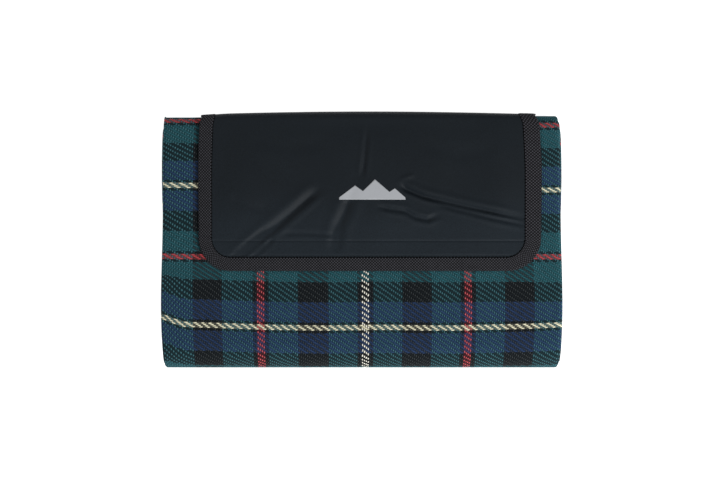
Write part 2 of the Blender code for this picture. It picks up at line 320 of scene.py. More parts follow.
class FoldedRug:
    """The rug's folds: u runs across its flat cut, v along it, n towards the tartan face."""

    def __init__(self):
        rug = bpy.context.scene.blanket_rug
        width = RUG_HIGH.x - RUG_LOW.x
        depth = RUG_HIGH.y - RUG_LOW.y
        pitch = (RUG_HIGH.z - RUG_LOW.z - rug.pressed) / (LAYERS * PANELS - 1)
        panel = LAYERS * pitch
        # Half the heights, in panels, of the outermost folds at the front and at the spine
        front_fold, spine_fold = 2, 2.5
        layers_in_folds = LAYERS * (front_fold + spine_fold) + LAYERS - 1
        self.run_across = width - 2 * pitch - rug.pressed
        self.run_along = depth - layers_in_folds * pitch - rug.pressed
        small, gate = (pitch / 2, math.pi), (1.5 * pitch, math.pi)
        self.gate_x = width / 2 - rug.pressed / 2 - 1.5 * pitch
        short = (self.run_across - rug.hem_inset, 0)
        full = (self.run_across, 0)
        self.across = Route(
            (self.gate_x - rug.hem_inset, -pitch / 2), math.pi,
            [short, small, full, gate, full, small, short], side=-1,
        )
        run = (self.run_along, 0)
        folds = [
            [(panel / 2, -math.pi)],
            [(panel, -math.pi)],
            square_turn(rug.inner_corner, 1.5 * panel),
            [(front_fold * panel, -math.pi)],
            square_turn(rug.outer_corner, spine_fold * panel),
        ]
        moves = [move for fold in folds for move in [run] + fold] + [run]
        half_panel = 1.5 * pitch + rug.pressed / 2
        self.outer_height = 1.5 * pitch + rug.sheet / 2
        self.start_y = RUG_LOW.y + half_panel + front_fold * panel
        start_z = RUG_LOW.z + half_panel + PANELS // 2 * panel
        self.along = Route((self.start_y, start_z), 0.0, moves, side=1)
        # Where the outer layer starts across the sheet, and the top panel along it
        self.outer_u = short[0] + math.pi * pitch / 2 + self.run_across + math.pi * 1.5 * pitch
        self.front_v = self.along.parts[-len(folds[-1]) - 2][0]

    def place(self, u, v, n):
        u, v, n = np.broadcast_arrays(u, v, n)
        (x, height), (normal_x, normal_h) = self.across.at(u)
        offset = height + normal_h * n
        (y, z), (normal_y, normal_z) = self.along.at(v)
        wander = waves(v, EDGE_WANDER)
        x = (x + normal_x * n) * (1 - NARROWER + wander / RUG_HIGH.x) + TO_RIGHT
        return settle(np.stack((x, y + normal_y * offset, z + normal_z * offset), axis=-1))

    def weave(self, u, v):
        """The weave's own coordinates, in metres, with the pull of the folds on its lines."""
        u, v = np.broadcast_arrays(u, v)
        x = self.gate_x - (u - self.outer_u)
        # The outer layer goes the long way round each fold.
        folded = self.along.turned(v) - self.along.turned(self.front_v)
        y = self.start_y + v - self.front_v + self.outer_height * folded
        last = self.outer_u + self.run_across
        outer = band(self.outer_u - 0.020, self.outer_u - 0.006, last + 0.006, last + 0.020, u)
        right = RIGHT_PULL * (np.clip(x - 0.070, 0, 0.120) / 0.115) ** 3
        pull = rises(x, LEFT_PULL) * (1 - smooth(-0.040, -0.020, y))
        pull = pull + right * (1 - smooth(-0.083, -0.045, y))
        pull = pull - BACK_LEFT_PULL * smooth(-0.130, -0.150, x) * smooth(0.060, 0.105, y)
        risen = np.clip((y + 0.017) / 0.124, 0, 1.2)
        pull = pull - BACK_RIGHT_PULL * smooth(0.130, 0.160, x) * risen ** 1.3
        pull = pull + rises(y, FRONT_PULL) + waves(x, PULL_WAVE)
        drift = waves(y, LEAN) + rises(x, STRETCH) + rises(x, SHIFTS)
        return np.stack((x - CHECK_X + outer * drift, y - CHECK_Y - outer * pull), axis=-1)


# Mesh helpers


def finish_piece(made, finish, body=None):
    """Give a piece its finish and, where it follows one body, that body."""
    made.data.materials.append(material(finish))
    made.data.shade_smooth()
    if body:
        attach(made, body)


def mesh_object(name, points, faces, weave=None):
    """A mesh piece at the origin, with its weave coordinates, if it has any, as a UV map."""
    data = bpy.data.meshes.new(name)
    data.from_pydata(points.tolist(), [], faces)
    if weave is not None:
        corners = np.empty(len(data.loops), np.int32)
        data.loops.foreach_get("vertex_index", corners)
        flat = weave.reshape(-1, 2)[corners].astype(np.float32)
        data.uv_layers.new(name="weave").data.foreach_set("uv", flat.ravel())
    data.validate()
    data.update()
    made = bpy.data.objects.new(name, data)
    bpy.context.collection.objects.link(made)
    return made


def grid_faces(rows, columns, first=0):
    """The faces of a grid of points whose first point has this number."""
    start = np.arange(rows - 1)[:, None] * columns + np.arange(columns - 1)[None, :] + first
    return np.stack((start, start + 1, start + columns + 1, start + columns), axis=-1).reshape(-1, 4)


def sheet_object(name, top, bottom, weave):
    """A closed sheet between two grids of points that lie the same way round."""
    rows, columns = top.shape[:2]
    count = rows * columns
    upper = grid_faces(rows, columns)
    lower = grid_faces(rows, columns, count)[:, ::-1]
    ring = np.concatenate((
        np.arange(columns - 1),
        np.arange(rows - 1) * columns + columns - 1,
        count - 1 - np.arange(columns - 1),
        (rows - 1 - np.arange(rows - 1)) * columns,
    ))
    following = np.roll(ring, -1)
    border = np.stack((following, ring, ring + count, following + count), axis=-1)
    points = np.concatenate((top.reshape(-1, 3), bottom.reshape(-1, 3)))
    faces = np.concatenate((upper, lower, border)).tolist()
    return face_outwards(mesh_object(name, points, faces, np.stack((weave, weave))))


def swept_object(name, rings, weave):
    """A closed tube through rings of points, one row for each ring, with flat ends."""
    rows, columns = rings.shape[:2]
    start = np.arange(rows - 1)[:, None] * columns + np.arange(columns)[None, :]
    following = np.arange(rows - 1)[:, None] * columns + (np.arange(columns)[None, :] + 1) % columns
    sides = np.stack((start, following, following + columns, start + columns), axis=-1).reshape(-1, 4)
    faces = sides.tolist()
    half = columns // 2
    for base, order in ((0, -1), ((rows - 1) * columns, 1)):
        for i in range(half - 1):
            quad = [base + i, base + i + 1, base + columns - 2 - i, base + columns - 1 - i]
            faces.append(quad[::order])
    return face_outwards(mesh_object(name, rings.reshape(-1, 3), faces, weave))


def face_outwards(made):
    """Turn a closed piece's faces outwards if they all point in."""
    shape = bmesh.new()
    shape.from_mesh(made.data)
    inwards = shape.calc_volume(signed=True) < 0
    shape.free()
    if inwards:
        made.data.flip_normals()
    return made


# A leg of the folded tape from its sewn edge: shares of the tape's width and half thickness
TAPE_LEG = ((1.0, 0.94), (0.96, 1.0), (0.5, 1.04))
TAPE_TURN_START, TAPE_TURN_POINTS = 0.25, 5
TAPE_TURN_WIDTH = 0.001


def folded_tape(width, inside, wall, wrap):
    """The closed section of a tape folded over an edge: distance in, and height."""
    outer = inside + wall
    leg = [(width * across, outer * up) for across, up in TAPE_LEG] + [(TAPE_TURN_WIDTH, outer)]
    angles = np.linspace(TAPE_TURN_START, math.pi - TAPE_TURN_START, TAPE_TURN_POINTS)
    turn = [(-wrap * math.sin(angle), outer * math.cos(angle)) for angle in angles]
    outside = leg + turn + [(across, -up) for across, up in leg[::-1]]
    scale = inside / outer
    inside_line = [(max(across, -wrap * 0.3), up * scale) for across, up in outside]
    return np.array(outside + inside_line[::-1])


# Shaders


class Value:
    """A socket of a shader tree, on which arithmetic adds Math nodes."""

    def __init__(self, shader, socket):
        self.shader = shader
        self.socket = socket

    def math(self, operation, *others, first=None):
        values = (first, self) if first is not None else (self, *others)
        inputs = {index: value for index, value in enumerate(values)}
        return self.shader.node("ShaderNodeMath", {"operation": operation}, inputs)

    def __add__(self, other):
        return self.math("ADD", other)

    __radd__ = __add__

    def __sub__(self, other):
        return self.math("SUBTRACT", other)

    def __rsub__(self, other):
        return self.math("SUBTRACT", first=other)

    def __mul__(self, other):
        return self.math("MULTIPLY", other)

    __rmul__ = __mul__

    def __truediv__(self, other):
        return self.math("DIVIDE", other)

    def __mod__(self, other):
        return self.math("FLOORED_MODULO", other)

    def floor(self):
        return self.math("FLOOR")

    def sine(self):
        return self.math("SINE")

    def between(self, low, high):
        """0 below low, 1 above high and a smooth rise between them."""
        return self.shader.node(
            "ShaderNodeMapRange", {"interpolation_type": "SMOOTHSTEP"},
            {"Value": self, "From Min": low, "From Max": high},
        )


class Shader:
    """A material whose nodes are made by name."""

    def __init__(self, name, roughness, **constants):
        self.material = bpy.data.materials.new(name)
        self.material.use_nodes = True
        self.tree = self.material.node_tree
        self.surface = self.tree.nodes["Principled BSDF"]
        self.surface.inputs["Roughness"].default_value = roughness
        for socket, value in constants.items():
            self.surface.inputs[socket.replace("_", " ")].default_value = value

    def node(self, kind, settings=None, inputs=None, output=0):
        """A new node's output, after its settings and the values or links of its inputs."""
        made = self.tree.nodes.new(kind)
        for name, value in (settings or {}).items():
            if name == "stops":
                self.fill_ramp(made.color_ramp, value)
            else:
                setattr(made, name, value)
        for name, value in (inputs or {}).items():
            self.feed(made.inputs[name], value)
        return Value(self, made.outputs[output])

    def feed(self, socket, value):
        if isinstance(value, Value):
            self.tree.links.new(value.socket, socket)
        elif hasattr(value, "__len__") and len(value) == 3 and socket.type == "RGBA":
            socket.default_value = (*value, 1.0)
        else:
            socket.default_value = value

    def fill_ramp(self, ramp, stops):
        ramp.interpolation = "CONSTANT"
        while len(ramp.elements) < len(stops):
            ramp.elements.new(1.0)
        for element, (place, tint) in zip(ramp.elements, stops):
            element.position = place
            element.color = (*tint, 1.0)

    def mix(self, factor, first, second, blend="MIX"):
        settings = {"data_type": "RGBA", "blend_type": blend, "clamp_factor": True}
        return self.node("ShaderNodeMix", settings, {0: factor, 6: first, 7: second}, 2)

    def weave(self):
        """The two weave coordinates, in metres."""
        place = self.node("ShaderNodeUVMap", {"uv_map": "weave"})
        return [self.node("ShaderNodeSeparateXYZ", inputs={0: place}, output=i) for i in (0, 1)]

    def noise(self, scale, detail=2.0, roughness=0.5):
        place = self.node("ShaderNodeTexCoord", output=3)
        inputs = {"Vector": place, "Scale": scale, "Detail": detail, "Roughness": roughness}
        return self.node("ShaderNodeTexNoise", inputs=inputs)

    def shade(self, tint, amount):
        """A colour made lighter or darker by an amount round 1."""
        grey = self.node("ShaderNodeCombineColor", inputs={0: amount, 1: amount, 2: amount})
        return self.mix(1.0, tint, grey, "MULTIPLY")

    def waves(self, across, along, pitch):
        """The crossed waves of an even weave of this pitch."""
        first = (across * (TURN / pitch)).sine()
        return first * (along * (TURN / pitch)).sine()

    def bump(self, height, distance, strength=0.8):
        inputs = {"Height": height, "Distance": distance, "Strength": strength}
        self.feed(self.surface.inputs["Normal"], self.node("ShaderNodeBump", inputs=inputs))

    def paint(self, tint):
        self.feed(self.surface.inputs["Base Color"], tint)


# Yarns in each band of the check, from the middle of a cream line to the middle of a red one,
# and how open the weft lies over the warp in each
SETT = (2, 2, 15, 15, 15, 2, 2)
OPENNESS = (0.55, 0.3, 0.1, 0.3, 0.1, 0.3, 0.25)


def stripes(shader, yarn, tints):
    """The colour of a yarn, by its number, in bands that mirror at the cream and red lines."""
    half = sum(SETT)
    folded = (yarn + 0.5).math("PINGPONG", float(half)) / half
    stops = [(sum(SETT[:index]) / half, tint) for index, tint in enumerate(tints)]
    return shader.node("ShaderNodeValToRGB", {"stops": stops}, {0: folded})


def tartan_material():
    """Napped 2/2 twill in the rug's check: warp stripes across, weft stripes along."""
    yarns = bpy.context.scene.blanket_weave
    teal, blue, black = (tuple(tint) for tint in (yarns.teal, yarns.blue, yarns.black))
    red, cream = tuple(yarns.red), tuple(yarns.cream)
    # The straw weft is the yarn's own colour; the other two are the cream and red warp in painted
    # shade, for where the warp shows in the gaps under the weft.
    straw, dark, shaded_red = linear(255, 250, 216), linear(44, 46, 44), linear(150, 44, 62)
    shader = Shader("woven_tartan", 0.92, Specular_IOR_Level=0.12)
    across, along = shader.weave()
    fuzz = shader.noise(1100.0) - 0.5
    patch = shader.noise(150.0, 3.0, 0.6) - 0.5
    across = across + patch * 0.0011 + fuzz * 0.00055
    along = along + patch * 0.0009 + fuzz * 0.00045
    warp_at = across / yarns.warp_pitch
    weft_at = along / yarns.weft_pitch
    warp_index, weft_index = warp_at.floor(), weft_at.floor()
    warp = stripes(shader, warp_index, (cream, black, teal, black, teal, black, red))
    # Painted shade: the warp as it shows in the shaded gaps under the weft floats, darker where its
    # yarn is cream or red.
    under = stripes(shader, warp_index, (dark, black, teal, black, teal, black, shaded_red))
    weft = stripes(shader, weft_index, (straw, black, blue, black, teal, black, red))
    # A warp float covers two wefts, and steps down by one at each warp to the right.
    warp_lens = yarn_lens((weft_at + warp_index) % 4.0 - 1.0, (warp_at - warp_index) * 2.0 - 1.0, 2.0)
    weft_lens = yarn_lens((warp_at + weft_index) % 4.0 - 3.0, (weft_at - weft_index) * 2.0 - 1.0, 0.5)
    on_top = warp_lens.between(0.0, 0.20)
    height = on_top * warp_lens + (1.0 - on_top) * weft_lens
    # Painted shade and highlight: the twill is painted darker in the hollows between floats and lighter
    # on the float tops and the warp floats; the fuzz and patch terms are the yarn's own uneven tone.
    light = (0.46 + height * 0.66 + on_top * 0.14) * (1.0 + fuzz * 0.75 + patch * 0.40)
    open_gap = stripes(shader, weft_index, [(share,) * 3 for share in OPENNESS])
    ground = shader.mix((1.0 - weft_lens.between(0.0, 0.45)) * open_gap + 0.12, weft, under)
    tint = shader.mix(on_top * 0.96, ground, warp)
    # Painted sheen: the highest warp tops are painted a little paler.
    tint = shader.mix(on_top * warp_lens * 0.07, tint, linear(190, 200, 200))
    shader.paint(shader.shade(tint, light))
    shader.bump(height + fuzz * 0.5, 0.00055)
    return shader.material


def yarn_lens(along, beside, narrow):
    """The rise of one float of yarn: 1 at its middle, and 0 at its ends and sides."""
    return (1.0 - along * along - beside * beside * narrow).math("MAXIMUM", 0.0)


# Between these lengths the shell is painted lighter towards the cover's free end: painted light, where
# the lower cover catches the light.
PAINTED_LIGHT_SPAN, PAINTED_LIGHT_GAIN = (0.300, 0.350), 0.48


def cloth_material(name, tint, roughness, pitch, grain, gloss, painted_light=None):
    """Plain-woven synthetic cloth with a soft sheen."""
    shader = Shader(name, roughness, Specular_IOR_Level=gloss)
    across, along = shader.weave()
    rise = shader.waves(across, along, pitch)
    speck = shader.noise(1500.0) - 0.5
    cloud = shader.noise(24.0, 3.0) - 0.5
    light = 1.0 + rise * grain + speck * 1.5 + cloud * 0.25
    # Painted light: the lower part of the cover is painted lighter.
    if painted_light:
        light = light * (1.0 + along.between(*painted_light) * PAINTED_LIGHT_GAIN)
    shader.paint(shader.shade(tint, light))
    shader.feed(shader.surface.inputs["Roughness"], roughness + speck * 0.10 + cloud * 0.08)
    shader.bump(rise * 0.5 + speck * 0.5, 0.00006, 0.7)
    return shader.material


# Pitch of the tape's weave, and its painted shade and painted highlight as shares of its one colour
TAPE_PITCH = 0.0028
TAPE_SHADE_AND_HIGHLIGHT = (0.40, 5.4)


def tape_material():
    """Binding tape: a coarse diagonal weave, painted darker between its yarns and lighter on their tops
    as painted shade and highlight.
    """
    yarns = bpy.context.scene.blanket_weave
    shader = Shader("twill_tape", 0.80, Specular_IOR_Level=0.15)
    across, along = shader.weave()
    fuzz = shader.noise(1700.0) - 0.5
    first = ((across + fuzz * 0.0004) * (TURN / TAPE_PITCH)).sine()
    second = ((along + fuzz * 0.0004) * (TURN / TAPE_PITCH)).sine()
    top = (first * second * 0.5 + 0.5 + fuzz * 0.5).between(0.45, 0.80)
    # Painted shade and highlight: the tape's one colour, darkened between the yarns and lightened on
    # their tops.
    base, painted_highlight = (tuple(min(1.0, value * share) for value in yarns.tape) for share in TAPE_SHADE_AND_HIGHLIGHT)
    shader.paint(shader.mix(top, base, painted_highlight))
    shader.bump(top + fuzz * 0.4, 0.00022)
    return shader.material


def plain_material(name, tint, roughness, scale, variation, relief=0.0001, gloss=0.5):
    """A fibrous or moulded finish: one colour, broken up by fine noise."""
    shader = Shader(name, roughness, Specular_IOR_Level=gloss)
    grain = shader.noise(scale, 4.0, 0.6) - 0.5
    shader.paint(shader.shade(tint, 1.0 + grain * variation))
    shader.feed(shader.surface.inputs["Roughness"], roughness + grain * 0.12)
    shader.bump(grain, relief)
    return shader.material


def pile_material(name, tint, pitch, hooked):
    """Hook tape in rows of small hooks, or loop tape with a brushed, tangled pile."""
    shader = Shader(name, 0.8)
    across, along = shader.weave()
    tangle = shader.noise(1300.0, 3.0, 0.7) - 0.5
    rows = shader.waves(across, along, pitch)
    height = rows.between(0.1, 0.7) + tangle * 0.3 if hooked else tangle * 1.6 + rows * 0.2
    shader.paint(shader.shade(tint, 1.0 + height * 0.9))
    shader.bump(height, 0.0004, 1.0)
    return shader.material


def material(name):
    """The blanket's finish of this name, made the first time that it is asked for."""
    if name in bpy.data.materials and bpy.data.materials[name].get("blanket_made"):
        return bpy.data.materials[name]
    yarns = bpy.context.scene.blanket_weave
    makers = {
        "woven_tartan": (tartan_material,),
        "wadding": (plain_material, name, linear(214, 212, 206), 0.95, 900.0, 0.5, 0.0003),
        "coated_backing": (plain_material, name, linear(58, 62, 66), 0.45, 300.0, 0.25),
        "twill_tape": (tape_material,),
        "polyester_shell": (
            cloth_material, name, tuple(yarns.shell), 0.56, 0.0005, 0.10, 0.19, PAINTED_LIGHT_SPAN
        ),
        "polyester_lining": (cloth_material, name, tuple(yarns.lining), 0.62, 0.0006, 0.15, 0.12),
        "hook_tape": (pile_material, name, linear(30, 30, 32), 0.0016, True),
        "loop_tape": (pile_material, name, linear(26, 26, 28), 0.0011, False),
        "thread": (plain_material, name, tuple(yarns.thread), 0.7, 2500.0, 0.6, 0.0001, 0.05),
        "print_film": (plain_material, name, tuple(yarns.print), 0.42, 700.0, 0.10, 0.00004),
    }
    for taken in [m for m in bpy.data.materials if m.name == name]:
        taken.name = f"{name}_cad"
    maker, *values = makers[name]
    made = maker(*values)
    made.name = name
    made["blanket_made"] = True
    return made


# Flap


# How far the cover's sides stand out past their straight cut, by length from the spine
LEFT_SPREAD = (
    (-0.015, 0.0), (0.0, 0.0018), (0.012, -0.0004), (0.050, 0.0), (0.110, 0.0022), (0.150, 0.0028),
)
RIGHT_SPREAD = (
    (-0.015, 0.0), (0.0, -0.0026), (0.010, 0.0022), (0.050, 0.0027), (0.110, 0.0004),
    (0.150, -0.0004),
)

# Rows of sewing that hold the hook strip, as lengths from the spine, and the dents they make
CLOSURE_SEAMS = (0.1202, 0.1340)
SEAM_DEPTH, SEAM_WIDTH = 0.00055, 0.0007

# How the cover and the spine stand out of their flat place
SPINE_SINK, COVER_HANG, HANG_REACH = 0.0016, 0.0012, 0.008
PUFF, WRINKLES = 0.0016, 0.0004
LOWEST, CLOSURE_LIFT = -0.0010, 0.0006
# The share of a crease that the stiff emblem takes out, and its box on the cover
EMBLEM_STIFFNESS = 0.85
EMBLEM_ACROSS = (-0.030, -0.024, 0.035, 0.040)
EMBLEM_UP = (0.034, 0.038, 0.056, 0.062)


class Flap:
    """The flap's strip of cloth, read by distance to the side and length from its back end."""

    def __init__(self):
        sizes = bpy.context.scene.blanket_flap
        self.tape = bpy.context.scene.blanket_rug.tape
        rise = COVER_Z - BACK_Z
        bend = sizes.bend
        moves = [
            (sizes.back - bend, 0), (bend, QUARTER), (rise - 2 * bend, 0),
            (bend, QUARTER), (sizes.cover - bend, 0),
        ]
        self.sizes = sizes
        self.route = Route((SPINE_Y - sizes.back, BACK_Z), 0.0, moves, side=-1)
        self.cover_start = self.route.parts[4][0] - bend
        self.middle = self.route.parts[2][0] + self.route.parts[2][1] / 2
        self.total = self.route.total
        self.spine_low = self.route.parts[1][0]

    def half_width(self, lengths):
        share = np.clip((lengths - self.cover_start) / self.sizes.cover, 0, 1)
        return (self.sizes.width + (self.sizes.end_width - self.sizes.width) * share) / 2

    def cloth_half_width(self, lengths):
        """The half width, with the rounded corners of both ends taken off."""
        half = self.half_width(lengths)
        for corner, from_end in (
            (self.sizes.cover_corner, self.total - lengths),
            (self.sizes.back_corner, lengths),
        ):
            inside = np.clip(corner - from_end, 0, corner)
            half = half - (corner - np.sqrt(np.maximum(corner ** 2 - inside ** 2, 0)))
        return half

    def from_edge(self, side, lengths):
        """The distance in from the cover's bound edge, round its corners."""
        corner = self.sizes.cover_corner
        in_side = self.half_width(lengths) - np.abs(side)
        in_end = self.total - lengths
        round_in = corner - np.hypot(np.maximum(corner - in_side, 0), np.maximum(corner - in_end, 0))
        return np.where((in_side < corner) & (in_end < corner), round_in, np.minimum(in_side, in_end))

    def spread(self, side, lengths):
        """How far the cover's sides stand out past, or inside, their straight cut."""
        far = lengths - self.cover_start
        left, right = (np.interp(far, *zip(*line)) for line in (LEFT_SPREAD, RIGHT_SPREAD))
        share = np.clip(np.abs(side) / self.half_width(lengths), 0, 1) ** 3
        return np.where(side < 0, left, right) * share

    def relief(self, side, lengths):
        """How far the cloth stands out of its flat place."""
        far = lengths - self.cover_start
        half = self.half_width(lengths)
        on_spine = smooth(self.spine_low - 0.004, self.spine_low + 0.012, lengths)
        on_spine = on_spine * (1 - smooth(-0.004, 0.016, far))
        across = np.clip(np.abs(side) / half, 0, 1)
        raised = on_spine * (self.sizes.bulge * np.cos(across * QUARTER) - SPINE_SINK)
        on_cover = smooth(0.010, 0.030, far)
        edge = self.from_edge(side, lengths)
        closure = band(0.104, 0.112, 0.132, 0.139, far)
        hang = np.exp(-(np.maximum(edge, 0) / HANG_REACH) ** 2) * smooth(0.0, 0.040, far)
        x, y = side + FLAP_X, SPINE_Y - far
        printed = band(*EMBLEM_ACROSS, x) * band(*EMBLEM_UP, y)
        folds = sum(crease(x, y, *made) for made in CREASES) * (1 - EMBLEM_STIFFNESS * printed)
        wrinkles = on_cover * (folds + WRINKLES * swell(x * 1.6 + 0.1, y * 1.9))
        wrinkles = wrinkles * smooth(0.009, 0.018, edge)
        puff = PUFF * smooth(0.006, 0.040, far) * (1 - 0.5 * smooth(0.086, 0.120, far))
        puff = puff * smooth(0.012, 0.045, edge)
        seams = sum(np.exp(-((far - at) / SEAM_WIDTH) ** 2) for at in CLOSURE_SEAMS)
        seams = SEAM_DEPTH * seams * smooth(0.0125, 0.0140, edge)
        soft = np.maximum(puff + wrinkles, LOWEST + CLOSURE_LIFT * closure)
        return raised - COVER_HANG * hang + soft - seams * on_cover

    def place(self, side, lengths, n):
        side, lengths, n = np.broadcast_arrays(side, lengths, n)
        (y, z), (normal_y, normal_z) = self.route.at(lengths)
        n = n + self.relief(side, lengths)
        x = side + self.spread(side, lengths) + FLAP_X
        return settle(np.stack((x, y + normal_y * n, z + normal_z * n), axis=-1))

    def rows(self, front, step, run_step):
        """Lengths of one half's rows, closely spaced at its rounded end."""
        first, last = (self.middle, self.total) if front else (0.0, self.middle)
        corner = self.sizes.cover_corner if front else self.sizes.back_corner
        angles = np.linspace(0, QUARTER, max(6, int(corner / step)))
        ends = corner * (1 - np.sin(angles))
        if front:
            body = self.route.stations(first, last - corner, run_step, step)[:-1]
            beside = (-0.0014, -0.0006, 0, 0.0006, 0.0014)
            seams = [self.cover_start + at + shift for at in CLOSURE_SEAMS for shift in beside]
            lengths = np.sort(np.concatenate((body, last - ends, seams)))
            return lengths[np.concatenate(([True], np.diff(lengths) > 0.1 * step))]
        return np.concatenate((ends[::-1], self.route.stations(corner, last, run_step, step)[1:]))

    def edge(self, front, step):
        """The bound edge of one half, from its left end at mid-spine round to its right."""
        first, last = (self.middle, self.total) if front else (self.middle, 0.0)
        corner = self.sizes.cover_corner if front else self.sizes.back_corner
        way = 1 if front else -1
        run = abs(last - first) - corner
        down = first + way * np.linspace(0, run, int(run / step) + 1)
        half = self.half_width(down)
        ones = np.ones(len(down))
        parts = [np.stack((half, down, ones, 0 * ones), axis=-1)]
        angles = np.linspace(0, QUARTER, max(8, int(corner * QUARTER / step)))[1:]
        centre = half[-1] - corner
        parts.append(np.stack((
            centre + corner * np.cos(angles), last - way * corner + way * corner * np.sin(angles),
            np.cos(angles), way * np.sin(angles),
        ), axis=-1))
        count = int(centre / step)
        sides = np.linspace(centre, 0, count + 1)[1:]
        ones = np.ones(count)
        parts.append(np.stack((sides, last * ones, 0 * ones, way * ones), axis=-1))
        right = np.concatenate(parts)
        left = right[:-1] * np.array((-1, 1, -1, 1))
        return np.concatenate((left, right[::-1]))


# Creases of the cover, in millimetres: the rise, the widths of the left and right slopes, the
# share of the lips beside them, and the points of the line
CREASES = [
    (-3, 4.4, 2.7, 0.22, (
        (-124, -24), (-109, -11), (-93.5, 1.5), (-77, 14), (-64, 25), (-49, 38), (-34, 50),
    )),
    (-0.8, 1.8, 1.8, 0.35, ((-127, -21), (-116, -11), (-104, -0.5), (-88, 12))),
    (-1.3, 1.8, 1.8, 0.35, ((-114, -24), (-103, -16.5), (-92, -7), (-80, 3))),
    (-1.6, 2, 1.6, 0.2, ((0.5, 55), (3.2, 76), (4.8, 94), (7, 115))),
    (-2.3, 4.2, 4.2, 0.2, ((-25, -14), (-24, 1), (-21.5, 13), (-15.5, 26), (-10.5, 40), (-3, 64))),
    (-2.8, 2.8, 1.5, 0.25, (
        (33, 53), (42, 46.2), (58, 39.5), (79, 34.5), (100.5, 29.4), (122, 25), (164, 16),
    )),
    (-1.5, 1.3, 1.9, 0.35, ((66, 34.5), (87, 29), (100.5, 25.7), (122, 20.2), (164, 11.5))),
    (-1.8, 2, 2, 0.3, ((11, 31.8), (26, 28.5), (41, 26.4), (50.5, 21), (62, 18.6), (76, 23.5))),
    (0.9, 1.8, 1.8, 0, ((31, 50.5), (37, 56.8), (51, 61))),
    (-0.8, 2.2, 1.4, 0.2, ((-76, 5.2), (-50, 5.4), (-24, 3.6))),
    (-0.7, 5, 5, 0, ((-125, 40), (-105, 30), (-85, 28))),
    (-0.6, 9, 7, 0, ((-110, 95), (-70, 85), (-30, 90))),
    (-0.6, 8, 7, 0, ((50, 90), (90, 80), (130, 85))),
]
# How far a crease's lips lie from its middle, in widths of its slope
LIP_PLACE = 2.2


def crease(x, y, rise, left, right, dip, points):
    """One crease, whose two slopes differ, along a line that it fades out of at both ends."""
    nearest = np.full(np.shape(x), np.inf)
    offset, share = np.zeros(np.shape(x)), np.zeros(np.shape(x))
    line = np.array(points) / MILLIMETRES
    rise, left, right = rise / MILLIMETRES, left / MILLIMETRES, right / MILLIMETRES
    count = len(line) - 1
    for index, (a, run) in enumerate(zip(line, np.diff(line, axis=0))):
        size = math.hypot(*run)
        along = ((x - a[0]) * run[0] + (y - a[1]) * run[1]) / size ** 2
        held = np.clip(along, 0, 1)
        away = np.hypot(x - a[0] - held * run[0], y - a[1] - held * run[1])
        across = (y - a[1]) * run[0] - (x - a[0]) * run[1]
        closer = away < nearest
        nearest = np.where(closer, away, nearest)
        offset = np.where(closer, np.where(across > 0, away, -away), offset)
        share = np.where(closer, (index + held) / count, share)
    fade = band(0, 0.18, 0.82, 1.0, share)
    hill = np.exp(-(offset / np.where(offset > 0, left, right)) ** 2)
    lips = np.exp(-((offset + LIP_PLACE * right) / right) ** 2)
    lips = lips + np.exp(-((offset - LIP_PLACE * left) / left) ** 2)
    return rise * fade * (hill - dip * lips)


# Operators

# The camera looks straight down from far off through a long lens.
CAMERA_PLACE, CAMERA_LENS = (-0.0014, -0.0005, 3.797), 200.0
# The floor lies low enough for the creases of the opened cover to stand clear of it.
FLOOR_Z, FLOOR_SIZE, FLOOR_GREY, FLOOR_GLOW = -0.0026, 8.0, 0.90, 0.80
SKY_STRENGTH = 0.32
# Each light's place, size and power
LIGHTS = {"key": ((1.25, -1.25, 1.12), 0.6, 35.0), "fill": ((-1.5, 0.9, 1.5), 1.2, 7.0)}


class BLANKET_OT_stage(bpy.types.Operator):
    """Make the camera, the floor and the studio lights"""

    bl_idname = "blanket.stage"
    bl_label = "Stage"

    def execute(self, context):
        scene = context.scene
        scene.view_settings.view_transform = "Standard"
        bpy.ops.object.select_all(action="DESELECT")
        bpy.ops.object.camera_add(location=CAMERA_PLACE, rotation=(0, 0, 0))
        scene.camera = context.object
        scene.camera.data.lens = CAMERA_LENS
        bpy.ops.mesh.primitive_plane_add(size=FLOOR_SIZE, location=(0, 0, FLOOR_Z))
        floor = context.object
        floor.name = "studio_floor"
        white = (1, 1, 1, 1)
        shader = Shader(floor.name, 0.9, Emission_Color=white, Emission_Strength=FLOOR_GLOW)
        mottle = shader.noise(3.0) - 0.5
        shader.paint(shader.shade((FLOOR_GREY,) * 3, 1.0 + mottle * 0.01))
        floor.data.materials.append(shader.material)
        scene.world = scene.world or bpy.data.worlds.new("studio")
        scene.world.use_nodes = True
        sky = scene.world.node_tree.nodes["Background"].inputs
        sky["Color"].default_value = white
        sky["Strength"].default_value = SKY_STRENGTH
        for name, values in LIGHTS.items():
            self.light(name, *values)
        return {"FINISHED"}

    def light(self, name, place, size, power):
        bpy.ops.object.light_add(type="AREA", location=place)
        lamp = bpy.context.object
        lamp.name = f"studio_{name}"
        lamp.data.size = size
        lamp.data.energy = power
        lamp.visible_camera = False
        away = math.atan2(math.hypot(place[0], place[1]), place[2])
        lamp.rotation_euler = (away, 0, math.atan2(place[1], place[0]) + QUARTER)


# Gap between the rug's plies, and how near the turns their extra rows lie
PLY_GAP = 0.00005
NEAR_TURNS = (0.0015, 0.0034, 0.0060)


